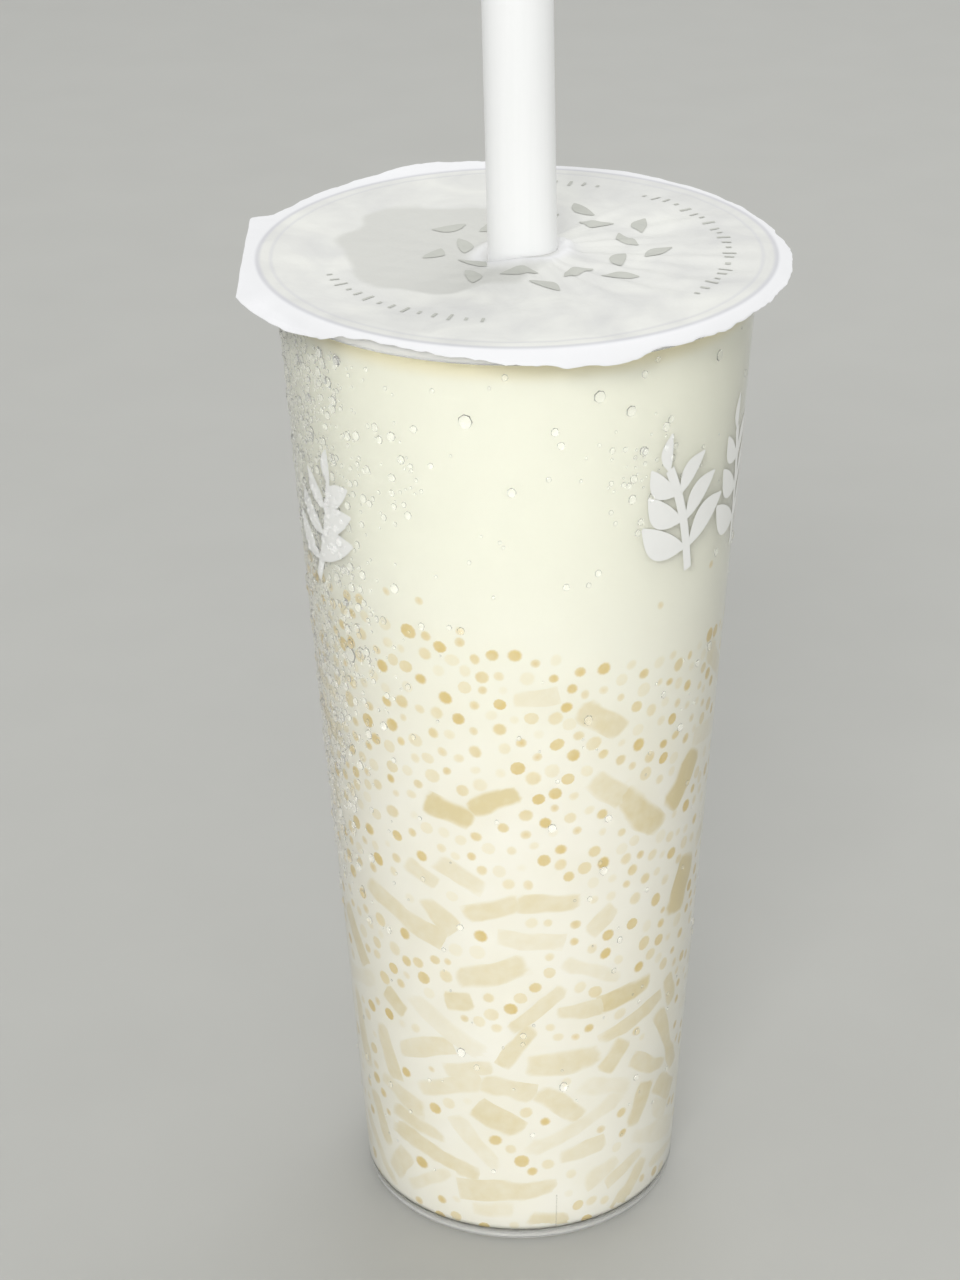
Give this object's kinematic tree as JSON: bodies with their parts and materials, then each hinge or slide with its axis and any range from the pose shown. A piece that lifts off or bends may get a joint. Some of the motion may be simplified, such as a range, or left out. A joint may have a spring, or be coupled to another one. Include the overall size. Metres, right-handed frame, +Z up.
{
  "type": "bubble tea",
  "caption": "Tall clear plastic cup of pale milk tea over sago pearls and jelly strips, sealed with a white film and pierced by a fat white straw.",
  "frame": {"origin": "centre of the cup's foot, on the surface it stands on", "axes": "+Z up along the cup's axis, -Y towards the side that the picture shows, +X to its right"},
  "size_m": [0.0953, 0.0949, 0.2461],
  "materials": {
    "clear_plastic": "clear injection-moulded polypropylene, glossy, with condensation outside",
    "milk_tea": "opaque pale cream liquid",
    "toppings": "translucent tan pearls and pale beige jelly in milk",
    "film": "translucent white sealing film with pale grey print",
    "straw_plastic": "satin white"
  },
  "bodies": {
    "root": {"cup": "clear_plastic", "milk_tea": "milk_tea", "sago_and_jelly": "toppings", "seal_film": "film", "straw": "straw_plastic"}
  },
  "joints": []
}
